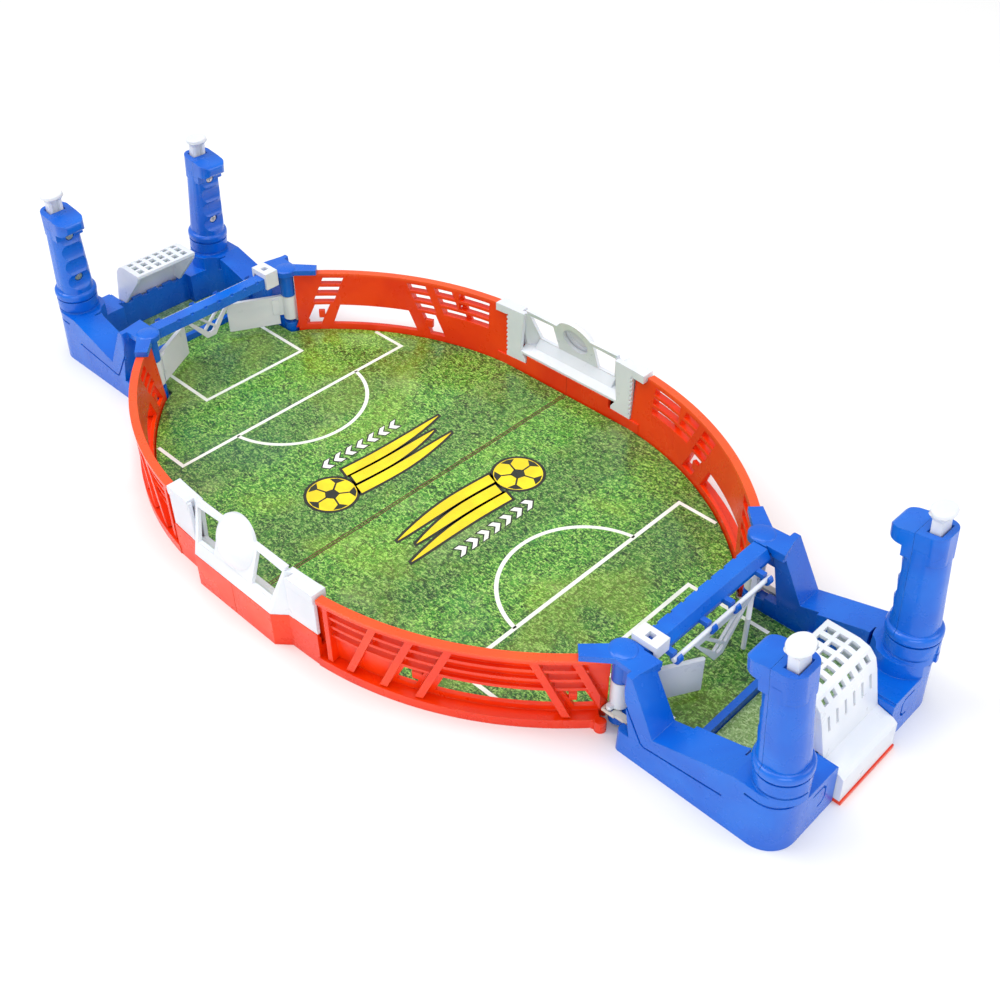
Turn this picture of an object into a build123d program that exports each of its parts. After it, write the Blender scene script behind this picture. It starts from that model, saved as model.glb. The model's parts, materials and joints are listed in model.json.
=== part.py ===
from build123d import *
import os
from math import asin, cos, degrees, radians, sin

# Two-player tabletop football game: an oval walled pitch between two goal units, each with two
# upright grips whose thumb buttons fire a pair of flippers at the goal mouth.
# Millimetres. Origin on the table under the centre spot, +X towards the home goal, +Z up.
# The home end is modelled at +X; the away end is the same end turned half a turn about Z.
# "left" and "right" are those of the player who sits at that end and faces the pitch.

# ---- driving dimensions -------------------------------------------------------------------
PITCH_TOP = 5.5          # playing surface above the table
BOARD_T = 1.9            # thickness of a pitch board
FIT = 0.3                # gap between pieces that only sit next to each other
RUN = 0.08               # radial gap of a running fit
SKIN = 2.3               # usual wall thickness of a moulding

ARC_X, ARC_Y, ARC_R = 34.0, -67.0, 186.0    # centre and inner radius of a curved side wall
WALL_H = 45.0            # height of a side wall
POST_ANGLE = 40.0        # where a side wall ends at the goal post, degrees about its centre
SEAM_X = 50.0            # where a side wall meets the throw-in bay
LEAN_OUT = 3.5           # how far the top of a side wall leans outward
RIM_D, SKIRT_D = 8.2, 9.0                   # how far the top rim and the skirt stand out
SKIRT_H = 5.6            # height of the skirt's ledge
RIB_D, RIB_T = 2.0, 1.9                     # depth and thickness of a wall rib
SLOT_TOPS = (42.0, 35.6, 29.2)              # upper edges of the three rows of slots
SLOT_H = 4.5
SLANT = 0.133            # degrees of slant per millimetre of height on the wall pillars

BAY_OUT = 133.0          # outer face of the bay at the table
BAY_HALF = 31.0          # half length of the bay's outer face
BAY_BASE_H = 21.0        # height of the red bay base, outside
PORT_X, PORT_Z, PORT_R = 2.0, 43.0, 9.3     # round recess in the bay's back wall
DOME_R, DOME_SET = 19.0, 12.0               # dome behind the recess: radius, and centre inside the wall

END_FRONT, END_REAR = 192.5, 280.0          # goal unit, along X
END_SIDE = 66.0          # half width of the goal unit at the table
CORNER_R = 14.6
BEAM_IN = 49.0           # inner face of a side beam
TRAY_Z, TRAY_T = 3.4, 1.2
SILL_X, SILL_T, SILL_H = 219.2, 3.6, 9.2
TOWER_TOP = 48.5
BEAM_SCREW = (226.0, 52.4)                  # screws of the bottom cover
REAR_SCREW = (273.4, 28.6)

POST_X, POST_Y = 184.0, 52.5                # flipper pivot
SLEEVE_R, PIN_R = 4.6, 1.5
FLIP_LEN, FLIP_T = 41.0, 2.4
FLIP_Z0, FLIP_Z1 = 9.0, 29.5
FLIP_REST = -61.0        # direction of a right-hand flipper at rest, degrees from +X
HORN_R, HORN_REST = 5.7, 100.0              # flipper horn: length and direction at rest

BAR_X0, BAR_X1 = 184.0, 194.5               # crossbar section
BAR_Z0, BAR_Z1 = 41.5, 48.0
ROD_X, ROD_Z, ROD_R = 200.2, 41.0, 1.2      # hinge rod of the swing gate

GRIP_X, GRIP_Y = 267.5, 51.3                # centre of a grip
SPLIT_X = 264.0          # joint plane between the two grip halves
PUSH_X = 270.7           # push bar of the thumb button
BOSS_TOP = 42.0
COLLAR_T = 6.0
SCREW_Z = (58.5, 88.0)
SCALLOP_Z = (57.0, 67.5, 78.0, 88.5)        # finger scallops
ROD_BOTTOM = 11.2        # lower end of the push rod, just above the crank arm
GRIP_LEAN, GRIP_OUT = -5.1, -1.3            # grips lean towards the field and outward, degrees
STROKE = 6.0             # travel of a thumb button

CRANK_X, CRANK_Z = 265.9, 5.2               # bell crank pivot
CRANK_TURN = 45.0        # degrees for a full stroke
ARM_PUSH, ARM_PUSH_REST = 8.0, 35.0         # arm under the push bar
ARM_PULL = 7.0                              # arm that pulls the link
LINK_Z0, LINK_Z1 = 10.6, 12.4
LINK_Y, LINK_W = 57.5, 3.6


# ---- small helpers ------------------------------------------------------------------------
def box(x0, x1, y0, y1, z0, z1):
    """Block between two corners."""
    size = Box(x1 - x0, y1 - y0, z1 - z0)
    return Pos((x0 + x1) / 2, (y0 + y1) / 2, (z0 + z1) / 2) * size


def disc(x, y, z0, z1, radius):
    """Upright cylinder."""
    return Pos(x, y, (z0 + z1) / 2) * Cylinder(radius, z1 - z0)


def bar_y(x, z, y0, y1, radius):
    """Cylinder lying along Y."""
    return Pos(x, (y0 + y1) / 2, z) * Rot(90, 0, 0) * Cylinder(radius, y1 - y0)


def bar_x(y, z, x0, x1, radius):
    """Cylinder lying along X."""
    return Pos((x0 + x1) / 2, y, z) * Rot(0, 90, 0) * Cylinder(radius, x1 - x0)


def slab(points, z0, z1):
    """Polygon in plan, raised from z0 to z1."""
    return Pos(0, 0, z0) * extrude(Polygon(*points, align=None), z1 - z0, (0, 0, 1))


def profile(points, y0, y1):
    """Polygon in side view (x, z), spanning y0 to y1."""
    return extrude(Plane.XZ.offset(-y0) * Polygon(*points, align=None), y1 - y0, (0, 1, 0))


def front(points, x0, x1):
    """Polygon in end view (y, z), spanning x0 to x1."""
    return extrude(Plane.YZ.offset(x0) * Polygon(*points, align=None), x1 - x0, (1, 0, 0))


def flip(shape):
    """The same shape on the other side of the long axis."""
    return mirror(shape, Plane.XZ)


def both(shape):
    """A shape and its mirror image across the long axis."""
    return shape + flip(shape)


def arc_point(radius, angle):
    """Point at a radius and angle about the centre of the curved wall."""
    a = radians(angle)
    return ARC_X + radius * cos(a), ARC_Y + radius * sin(a)


def sector(r0, r1, z0, z1, a0, a1):
    """Curved bar about the centre of the side wall, between two angles."""
    section = Plane.XZ * Pos((r0 + r1) / 2, (z0 + z1) / 2) * Rectangle(r1 - r0, z1 - z0)
    return Pos(ARC_X, ARC_Y) * Rot(0, 0, a0) * revolve(section, Axis.Z, a1 - a0)


def leaning(r0, r1, z0, z1, a0, a1):
    """Curved bar that leans outward with the side wall."""
    low, high = LEAN_OUT * z0 / WALL_H, LEAN_OUT * z1 / WALL_H
    points = [(r0 + low, z0), (r1 + low, z0), (r1 + high, z1), (r0 + high, z1)]
    section = Plane.XZ * Polygon(*points, align=None)
    return Pos(ARC_X, ARC_Y) * Rot(0, 0, a0) * revolve(section, Axis.Z, a1 - a0)


def on_wall(points, r0, r1):
    """Polygon given as (angle, z) on the curved wall, cut or raised along the radius."""
    middle = (min(p[0] for p in points) + max(p[0] for p in points)) / 2
    flat = [(radians(a - middle) * ARC_R, z) for a, z in points]
    face = Plane(origin=(r0, 0, 0), x_dir=(0, 1, 0), z_dir=(1, 0, 0)) * Polygon(*flat, align=None)
    return Pos(ARC_X, ARC_Y) * Rot(0, 0, middle) * extrude(face, r1 - r0, (1, 0, 0))


# ---- playing surface ----------------------------------------------------------------------
def board_outline():
    """Half of the pitch in plan, from the halfway line to the goal sill."""
    edge = ARC_R - FIT
    seam = degrees(asin((SEAM_X - ARC_X) / edge))
    top = arc_point(edge, 90 - seam)
    mid = arc_point(edge, 62)
    end = arc_point(edge, POST_ANGLE + 1.5)
    tongue = BEAM_IN - 2 * FIT - 1.5
    end_x = SILL_X - FIT
    upper = ThreePointArc(top, mid, end)
    lower = ThreePointArc((end[0], -end[1]), (mid[0], -mid[1]), (top[0], -top[1]))
    rest = Polyline(end, (178.5, tongue), (end_x, tongue), (end_x, -tongue), (178.5, -tongue),
                    (end[0], -end[1]))
    straight = Polyline((top[0], -top[1]), (0.25, -top[1]), (0.25, top[1]), top)
    return make_face([upper, rest, lower, straight])


def pitch_board():
    return Pos(0, 0, PITCH_TOP - BOARD_T) * extrude(board_outline(), BOARD_T)


def pit_outline(grow):
    """Goal pit behind the sill: a tray with rounded rear corners and a deeper middle."""
    x0 = SILL_X + SILL_T - grow
    wide = BEAM_IN - 2 + grow
    tray = Rectangle(258 + grow - x0, 2 * wide)
    tray = Pos((258 + grow + x0) / 2, 0) * fillet(tray.vertices().group_by(Axis.X)[-1], 12)
    well = Pos((250 + 264 + grow) / 2, 0) * Rectangle(264 + grow - 250, 2 * (26.5 + grow))
    return tray + well


def pit_mat():
    return Pos(0, 0, TRAY_Z) * extrude(pit_outline(-0.4), 0.9)


# ---- side walls and throw-in bay ----------------------------------------------------------
def pillar(top_angle, slant, width=1.25):
    """Slanted fin that stiffens the outside of the wall."""
    low, high = 6.5, WALL_H - 2
    shift = slant * SLANT * (high - low)
    points = [(top_angle, high), (top_angle + width, high),
              (top_angle + width + shift, low), (top_angle + shift, low)]
    return on_wall(points, ARC_R + 1.2, ARC_R + SKIN + LEAN_OUT + RIB_D)


def slot_row(index, a0, a1, slant):
    """One see-through slot of a row, shifted with the slant of the pillars."""
    top = SLOT_TOPS[index]
    drop = SLOT_TOPS[0] - top
    shift = slant * SLANT * drop
    skew = slant * SLANT * SLOT_H
    points = [(a0 + shift, top), (a1 + shift, top),
              (a1 + shift + skew, top - SLOT_H), (a0 + shift + skew, top - SLOT_H)]
    return on_wall(points, ARC_R - 3, ARC_R + SKIN + LEAN_OUT + 0.3)


def small_window(a0, a1, slant, hook_at):
    """Leaning window with a tab that stands into it."""
    high, low = 23.0, 9.0
    skew = slant * SLANT * (high - low) * 1.13
    window = on_wall([(a0, high), (a1, high), (a1 + skew, low), (a0 + skew, low)],
                     ARC_R - 3, ARC_R + SKIN + LEAN_OUT)
    edge = (a0 if hook_at < 0 else a1) + skew / 2
    tab = on_wall([(edge - 0.2, 18.5), (edge - hook_at * 1.4, 18.5), (edge - hook_at * 1.4, 13.5),
                   (edge - 0.2, 13.5)], ARC_R - 4, ARC_R + SKIN + 2)
    return window - tab


def side_wall():
    """Curved wall from the halfway line to the goal post, with its half of the bay base."""
    seam = 90 - degrees(asin((SEAM_X - ARC_X) / ARC_R))
    outer = ARC_R + SKIRT_D
    near_post = POST_ANGLE + 1.2
    fins = leaning(ARC_R + 1, ARC_R + SKIN + RIB_D, SLOT_TOPS[2] - SLOT_H - RIB_T, SLOT_TOPS[2] - SLOT_H,
                   43.0, 80.5)
    for top in SLOT_TOPS[:2]:
        fins += leaning(ARC_R + 1, ARC_R + SKIN + RIB_D, top - SLOT_H - RIB_T, top - SLOT_H, 43.0, 80.5)
    for angle, slant in ((80.5, 0), (72.1, 1), (66.5, 1), (61.0, 1), (49.9, -1), (44.2, -1)):
        fins += pillar(angle, slant, 0.9 if slant == 0 else 1.25)
    fins -= leaning(ARC_R - 15, ARC_R + 0.6, 0, WALL_H + 2, 38, 84)
    web = leaning(ARC_R, ARC_R + SKIN, 0, WALL_H, POST_ANGLE, seam)
    notch = sector(ARC_R - 1, outer + 4, WALL_H - 3.4, WALL_H + 1, 82.4, 90)
    rim = sector(ARC_R + LEAN_OUT, ARC_R + RIM_D, WALL_H - 2.6, WALL_H, near_post, 82.4)
    wall = web - notch + rim + fins
    wall += sector(ARC_R + 0.8, outer, SKIRT_H - 2.2, SKIRT_H, near_post, 83.0)
    wall += sector(outer - SKIN, outer, 0, SKIRT_H, near_post, 83.0)
    wall += sector(ARC_R - 3, ARC_R + 0.5, 0, PITCH_TOP - BOARD_T - 0.2, POST_ANGLE + 3, seam)
    for row in range(3):
        wall -= slot_row(row, 73.5, 80.4, 0)
        wall -= slot_row(row, 68.0, 71.95, 1)
        wall -= slot_row(row, 62.4, 66.35, 1)
        wall -= slot_row(row, 45.6, 49.75, -1)
    wall -= on_wall([(48.6, 22.8), (62.8, 22.8), (64.6, 9.2), (47.0, 9.2)], ARC_R - 8, ARC_R + SKIN + 2.5)
    wall -= small_window(65.4, 68.5, 1, -1)
    wall -= small_window(43.6, 46.7, -1, 1)
    wall += disc(POST_X - 2.6, POST_Y + 9.4, 0, 6.5, 3.0)
    wall += slab([arc_point(outer - SKIN, 42.5), arc_point(outer - SKIN, near_post),
                  (POST_X - 3, POST_Y + 7.2), (POST_X - 0.5, POST_Y + 10.5), arc_point(outer, 42.5)],
                 0, 4.6)
    return wall - box(179.4, 192, 48, 60.8, 5.1, 30) + bay_base()


def bay_base():
    """Half of the red box under the throw-in bay."""
    inner = arc_point(ARC_R, 90)[1]
    seam_y = arc_point(ARC_R, 85.1)[1]
    skirt = BAY_OUT - 6.0
    outline = [(0.15, inner), (ARC_X, inner), (SEAM_X + 7, seam_y - 0.6), (SEAM_X + 8.5, skirt - 0.9),
               (38, skirt), (BAY_HALF, BAY_OUT), (0.15, BAY_OUT)]
    hollow = [(0.15 + SKIN, inner + SKIN), (ARC_X, inner + SKIN), (SEAM_X + 6, seam_y + SKIN - 0.6),
              (SEAM_X + 6, skirt - SKIN - 0.4), (37, skirt - SKIN), (BAY_HALF - 1, BAY_OUT - SKIN),
              (0.15 + SKIN, BAY_OUT - SKIN)]
    body = slab(outline, 0, BAY_BASE_H) - slab(hollow, -1, BAY_BASE_H - 5)
    ledge = slab([(-1, inner - 1), (60, inner - 3), (60, inner + 5.6), (-1, inner + 5.6)], 18, 30)
    sunk = slab([(33, inner - 3), (60, inner - 5), (60, inner + 4.6), (33, inner + 4.6)], 12, 30)
    body -= ledge + sunk
    lip = box(0.15, 40, inner - 3, inner + 0.5, 0, PITCH_TOP - BOARD_T - 0.2)
    return body + lip


def throw_in_bay():
    """White throw-in bay: leaning back wall with two windows and a domed recess."""
    inner = arc_point(ARC_R, 90)[1]
    floor_z = BAY_BASE_H + 0.1
    top_z, top_y = 49.0, 123.2
    half_top = 36.0
    pitch = (BAY_OUT - top_y) / (top_z - floor_z)
    back = front([(BAY_OUT - 0.2, floor_z), (top_y, top_z), (top_y - 2.2, top_z), (BAY_OUT - 2.6, floor_z)],
                 -half_top - 1, half_top + 1)
    taper = (half_top - BAY_HALF) / (top_z - floor_z)
    trim = [(BAY_HALF + 40, 0), (BAY_HALF - taper * floor_z, 0), (half_top + taper * 20, top_z + 20),
            (BAY_HALF + 40, top_z + 20)]
    wedge = profile(trim, inner - 10, BAY_OUT + 10)
    back -= wedge + mirror(wedge, Plane.YZ)
    for side in (1, -1):
        a, b = (16.5, 34.0) if side > 0 else (-14.5, -34.0)
        c = 28.5 * side
        back -= profile([(a, 28.5), (c + side, 28.5), (b, 45.8), (a, 46.6)], inner, BAY_OUT + 10)
    port_y = BAY_OUT - pitch * (PORT_Z - floor_z)
    tilt = degrees(asin(pitch / (1 + pitch * pitch) ** 0.5))
    spot = Pos(PORT_X, port_y, PORT_Z) * Rot(90 + tilt, 0, 0)
    plate_r = (DOME_R ** 2 - DOME_SET ** 2) ** 0.5
    outside = spot * Pos(0, 0, -10) * Box(60, 60, 20)
    dome = (spot * Pos(0, 0, DOME_SET) * Sphere(DOME_R)) & outside
    hollow = (spot * Pos(0, 0, DOME_SET) * Sphere(DOME_R - 1.8)) & outside
    bay = back + dome + spot * Pos(0, 0, 1.1) * Cylinder(plate_r, 2.2)
    bay -= hollow
    bay -= spot * Cylinder(PORT_R, 6)
    for side in (1, -1):
        bay += bay_end(side, floor_z, top_z, top_y)
    bay += slab([(-39, inner + 5), (39, inner + 5), (37, inner + 7.5), (BAY_HALF, BAY_OUT - 1),
                 (-BAY_HALF, BAY_OUT - 1), (-37, inner + 7.5)], floor_z, floor_z + 1.8)
    bay += front([(inner + 0.3, 18.1), (inner + 0.3, 19.6), (inner + 5.2, floor_z + 1.8),
                  (inner + 5.2, 18.1)], -38.6, 38.6)
    ramp = front([(inner + 5, floor_z + 0.2), (inner + 5, floor_z + 1.8), (BAY_OUT - 4.6, 28.4),
                  (BAY_OUT - 2.6, 28.4), (BAY_OUT - 2.6, floor_z + 0.2)], -30.5, 30.5)
    bay += ramp - front([(inner + 6, floor_z - 1), (inner + 6, floor_z + 0.4), (BAY_OUT - 4.5, 26.8),
                         (BAY_OUT - 4.5, floor_z - 1)], -28.5, 28.5)
    return bay


def bay_end(side, floor_z, top_z, top_y):
    """End of the bay: slanted return, serrated inner panel and the cap over the wall's notch."""
    inner = arc_point(ARC_R, 90)[1] + 0.3
    skirt = BAY_OUT - 6.2
    half_top = 36.0
    lower = Pos(0, 0, floor_z) * Polygon((BAY_HALF, BAY_OUT - 0.2), (38, skirt), (41.5, skirt),
                                          (41.5, skirt - 2.2), (37.2, skirt - 2.2),
                                          (BAY_HALF - 1.5, BAY_OUT - 2.4), align=None)
    upper = Pos(0, 0, top_z) * Polygon((half_top, top_y), (40.5, inner + 2.2), (44, inner + 2.2),
                                       (44, inner), (39.3, inner), (half_top - 1.5, top_y - 2.2),
                                       align=None)
    turn = loft([lower, upper])
    turn -= box(30, 60, inner - 5, BAY_OUT + 5, 47.0, 60)
    seam = SEAM_X - 0.25
    panel = slab([(34.5, inner), (seam, inner - 0.9), (seam, inner + 1.4), (34.5, inner + 2.3)], 12.1, 47)
    cut = profile([(30, 12), (33, 12), (38.5, 19.9), (36, 47), (30, 47)], inner - 5, inner + 5)
    cap = slab([(40, inner), (seam + 8.5, inner - 1.6), (seam + 8.5, skirt - 0.6), (40, skirt)], 41.8, 47)
    cap -= slab([(20, inner - 5), (seam, inner - 5), (seam, inner + 2.4), (20, inner + 2.4)], 40, 41.9)
    face = slab([(38.5, skirt), (seam + 8.5, skirt - 1.2), (seam + 8.5, skirt - 3.0), (38.5, skirt - 2.2)],
                floor_z, 46)
    end = turn + (panel - cut) + cap + face
    for step in range(9):
        end -= box(seam - 1.2, seam + 0.1, inner - 2, inner - 0.1, 15 + 3.2 * step, 16.6 + 3.2 * step)
    return end if side > 0 else mirror(end, Plane.YZ)


# ---- goal unit: fixed mouldings -----------------------------------------------------------
def end_shell():
    """Outer block of the goal unit before the pit and the hollows are cut."""
    length = END_REAR - END_FRONT
    plan = Rectangle(length, 2 * END_SIDE)
    rear = plan.vertices().group_by(Axis.X)[-1]
    plan = fillet(rear, CORNER_R)
    plan = fillet(plan.vertices().group_by(Axis.X)[0], 3)
    block = Pos(END_FRONT + length / 2, 0, 0) * extrude(plan, TOWER_TOP + 1, taper=2.5)
    side = [(END_FRONT - 1, -1), (END_FRONT - 1, 13), (200.2, 13), (193.8, 44), (193.8, TOWER_TOP),
            (198.2, TOWER_TOP), (212.5, 21), (253, 33), (END_REAR + 1, 33), (END_REAR + 1, -1)]
    return block & profile(side, -END_SIDE - 1, END_SIDE + 1)


def tower_side():
    """Roof, hinge post and knuckle of the right-hand goal post."""
    under = WALL_H + 0.2
    roof = slab([(POST_X, POST_Y + 7), (198.2, 60.3), (201, 46.6), (POST_X, POST_Y - 7)], under, TOWER_TOP)
    roof += disc(POST_X, POST_Y, under, TOWER_TOP, 7)
    roof += Pos(POST_X, POST_Y, TOWER_TOP) * scale(Sphere(6.6), (1, 1, 0.18))
    tab = slab([(POST_X + 3, POST_Y + 5.5), (172.6, 69.4), (167.4, 64.0), (POST_X - 4, POST_Y - 1)],
               under, TOWER_TOP)
    post = disc(POST_X, POST_Y, FLIP_Z1 + 0.4, under + 0.5, SLEEVE_R)
    web = box(POST_X, 197, POST_Y + 0.5, POST_Y + 3.2, 31.5, under + 0.5)
    knuckle = disc(POST_X, POST_Y, 2.2, 10.2, SLEEVE_R)
    foot = box(POST_X, END_FRONT + 2, POST_Y - 2.6, POST_Y + 3.4, 2.2, 10.2)
    tower = front([(46.6, 18), (46.6, 46), (60.4, 46), (63.6, 18)], 192, 215)
    slope = [(200.4, 12), (193.8, 44), (193.8, TOWER_TOP), (198.2, TOWER_TOP), (212.5, 21), (212.5, 12)]
    wedge = tower & profile(slope, 40, 70)
    return roof + tab + post + web + knuckle + foot + wedge


def hollows():
    """Space inside the right-hand beam and corner for the linkage."""
    beam = profile([(203.5, -1), (203.5, 14), (214, 18.4), (250, 29.5), (257, 29.5), (257, -1)],
                   BEAM_IN + SKIN, 61.6)
    corner = disc(265.4, 51.4, -1, 29.5, CORNER_R - 2.8)
    corner += box(252, 266, 47.6, 61.6, -1, 29.5)
    corner += box(266.5, 277.2, 33, 52, -1, 20)
    corner -= box(257.5, 268.8, 40, 49.4, -2, 30)
    gate = box(END_FRONT - 1, 204, 53.8, 60.4, LINK_Z0 - 0.6, 13.6)
    return beam + corner + gate


def lean(shape):
    """Tilts a shape with the grip about the top of its boss."""
    there = Pos(GRIP_X, GRIP_Y, BOSS_TOP) * Rot(GRIP_OUT, GRIP_LEAN, 0)
    return there * Pos(-GRIP_X, -GRIP_Y, -BOSS_TOP) * shape


def boss_side():
    """Round boss that carries the right-hand grip."""
    neck = Pos(GRIP_X, GRIP_Y, 36) * Cylinder(12.6, 2 * (BOSS_TOP - 36))
    ring = disc(GRIP_X, GRIP_Y, 34.2, 35.4, 14) - disc(GRIP_X, GRIP_Y, 34, 36, 12.0)
    return lean((neck - ring) & disc(GRIP_X, GRIP_Y, 26, BOSS_TOP, 12.6))


def boss_bore():
    bore = disc(GRIP_X, GRIP_Y, 34, BOSS_TOP + 1, 10.1)
    return lean(bore + disc(PUSH_X, GRIP_Y, 20, 36, 3.4))


def side_grooves():
    """Engraved panel line along the outer face of the right-hand beam and tower."""
    path = Polyline((191.2, 40), (206.6, 14.5), (208.6, 13.4), (250, 17.6))
    line = extrude(Plane.XZ.offset(-57) * trace(path, 1.1), 70 - 57, (0, 1, 0))
    outer = profile([(185, 0), (185, 50), (255, 50), (255, 0)], 40, 70)
    skin = front([(65.0, 0), (62.6, 50), (50, 50), (50, 0)], 185, 255)
    return (line & (outer - skin)) + boss_groove()


def boss_groove():
    """Curved decorative groove under the grip boss."""
    axis_x = END_REAR - CORNER_R
    ring = disc(axis_x, GRIP_Y, 27.2, 28.4, CORNER_R) - disc(axis_x, GRIP_Y, 26, 30, CORNER_R - 1.9)
    wedge = slab([(GRIP_X - 2.1, GRIP_Y), (250, 70), (270, 82), (294, 68), (294, 50)], 25, 31)
    return ring & wedge


def end_base():
    """Goal unit moulding: two side beams, corner towers, pit walls, sill and tray."""
    block = end_shell() + both(tower_side()) + both(boss_side())
    field = box(END_FRONT - 2, SILL_X + SILL_T, -BEAM_IN, BEAM_IN, TRAY_Z, TOWER_TOP - 5)
    field += box(END_FRONT - 2, 215, -46.6, 46.6, TRAY_Z, 60)
    pit = Pos(0, 0, TRAY_Z) * extrude(pit_outline(0), 60)
    block -= field + pit
    shoulder = box(250, END_REAR + 5, -GRIP_Y, GRIP_Y, 24, 60)
    block -= shoulder - both(disc(GRIP_X - 2.1, GRIP_Y, 20, 61, CORNER_R))
    block -= box(250, END_REAR + 5, -24, 24, 23, 60)
    block -= box(266.3, END_REAR + 5, -22.4, 22.4, 2.1, 60)
    block -= Pos(0, 0, -1) * extrude(cover_outline(FIT), 1 + TRAY_Z - TRAY_T)
    block -= box(266.3, END_REAR + 5, -22.4, 22.4, -1, 10)
    block -= both(hollows())
    block -= both(boss_bore())
    block -= both(side_grooves())
    block += box(SILL_X, SILL_X + SILL_T, -BEAM_IN - 0.5, BEAM_IN + 0.5, TRAY_Z - 0.5, SILL_H)
    block += both(screw_post(*BEAM_SCREW, 20) + screw_post(*REAR_SCREW, 9.6))
    block += box(266.3, 268.6, -27, 27, TRAY_Z - TRAY_T, 19.8)
    for y in (-18, -6, 6, 18):
        block -= box(262, 267, y - 2.4, y + 2.4, 21.4, 24)
    block -= both(disc(POST_X, POST_Y, 4, 46.5, PIN_R + 0.02))
    block -= both(bar_y(CRANK_X, CRANK_Z, 46.9, 63.9, 1.02))
    block -= both(screw_hole(*BEAM_SCREW) + screw_hole(*REAR_SCREW))
    block -= both(corner_mark())
    return block


def corner_mark():
    """C-shaped engraved line on the rear face of the low corner block."""
    hook = Polyline((41, 20), (33, 20), (31, 17.5), (31, 12), (33, 9.6), (36, 9.6))
    return extrude(Plane.YZ.offset(END_REAR - 1.6) * trace(hook, 1.2), 4, (1, 0, 0))


def screw_post(x, y, top):
    return disc(x, y, 2.2, top, 2.4)


def screw_hole(x, y):
    return disc(x, y, 1.0, 8.6, 1.26)


def cover_outline(grow):
    """Outline of the bottom cover in plan."""
    x0, x1 = 199.5 - grow, END_REAR - 2.4 + grow
    plan = Pos((x0 + x1) / 2, 0) * Rectangle(x1 - x0, 2 * (END_SIDE - 4.4 + grow))
    plan = fillet(plan.vertices().group_by(Axis.X)[-1], CORNER_R - 3)
    tail = Pos(END_REAR - 3, 0) * Rectangle(13.6 + 2 * grow, 2 * (22 + grow))
    return plan + tail


def bottom_cover():
    """Red plate that closes the underside of a goal unit."""
    plate = extrude(cover_outline(0), 2.0)
    for x, y in (BEAM_SCREW, REAR_SCREW):
        hole = disc(x, y, -1, 3, 1.5)
        sink = Pos(x, y, 0.55) * Cone(2.8, 1.5, 1.3)
        plate -= both(hole + sink)
    return plate


def cover_screws(turn):
    """Countersunk screws of one bottom cover."""
    screws = []
    for x, y in (BEAM_SCREW, REAR_SCREW):
        head = Pos(x, y, 0.7) * Cone(2.6, 1.2, 1.2)
        screw = head + disc(x, y, 1.2, 8.2, 1.2) - slotted(x, y)
        screws += [Rot(0, 0, turn) * screw, Rot(0, 0, turn) * flip(screw)]
    return screws


def slotted(x, y):
    return box(x - 1.6, x + 1.6, y - 0.3, y + 0.3, 0, 0.6) + box(x - 0.3, x + 0.3, y - 1.6, y + 1.6, 0, 0.6)


def crossbar():
    """Bar between the towers with the hooks that carry the swing gate."""
    section = [(BAR_X0, BAR_Z0), (BAR_X0, BAR_Z1), (191.8, BAR_Z1), (BAR_X1, 43.8), (BAR_X1, BAR_Z0)]
    bar = profile(section, -45.3, 45.3)
    bar -= profile([(186, 40), (186, 45.8), (190.8, 45.8), (192.2, 43.4), (192.2, 40)], -44, 44)
    bar += both(box(187, 192, 44, 50.5, BAR_Z0, 43.7) - disc(POST_X, POST_Y, 40, 45, SLEEVE_R + 0.3))
    for y in (-34.5, -9.0, 9.0, 34.5):
        bar += hook(y)
    for step in range(-3, 4):
        bar -= box(BAR_X0 - 1, BAR_X0 + 0.9, 10 * step - 1.2, 10 * step + 1.2, 46.6, 49)
    return bar


def hook(y):
    """Open hook that cradles the hinge rod."""
    arm = box(BAR_X1 - 0.6, ROD_X - 1.4, y - 1.5, y + 1.5, 40.9, 43.6)
    ring = bar_y(ROD_X, ROD_Z, y - 1.5, y + 1.5, 2.8)
    mouth = bar_y(ROD_X, ROD_Z, y - 2, y + 2, ROD_R + RUN)
    mouth += box(ROD_X - ROD_R + 0.1, ROD_X + ROD_R - 0.1, y - 2, y + 2, ROD_Z, ROD_Z + 5)
    return arm + ring - mouth


def goal_net():
    """White net moulding: perforated roof, slotted back, side cheeks and rear apron."""
    outer = [(239.5, 51.6), (256, 51.6), (261.5, 50), (265.2, 46), (267, 40), (271.5, 20.1), (280.2, 17.6),
             (282.4, 15.8), (283.0, 2.2), (281.2, 2.2), (280.6, 14.8), (279.4, 15.9), (269.4, 18.6),
             (265.2, 38.8), (263.6, 44.8), (260.6, 48.2), (255.6, 49.6), (239.5, 49.6)]
    net = profile(outer, -22, 22)
    cheek = [(239.5, 51.6), (256, 51.6), (261.5, 50), (265.2, 46), (267, 40), (270.7, 23.2), (262.4, 23.2),
             (241.4, 46.4), (239.5, 50.4)]
    net += both(profile(cheek, 20.2, 22))
    net += both(profile([(270.6, 24), (271.6, 20), (280.2, 17.6), (282.4, 15.8), (283, 2.2), (270, 2.2)],
                        20.4, 22))
    for x in (242.0, 248.2, 254.4):
        for row in range(6):
            y = -16.5 + 6.6 * row
            net -= box(x, x + 4.4, y - 1.8, y + 1.8, 48, 53)
    for row in range(6):
        y = -16.5 + 6.6 * row
        net -= box(258, 275, y - 0.85, y + 0.85, 32.5, 40.5)
        net -= Pos(263.2, y, 47.2) * Rot(0, 45, 0) * Box(3.4, 3.2, 12)
    net -= box(270.9, 284, -30, 30, -1, 2.15)
    return net


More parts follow.
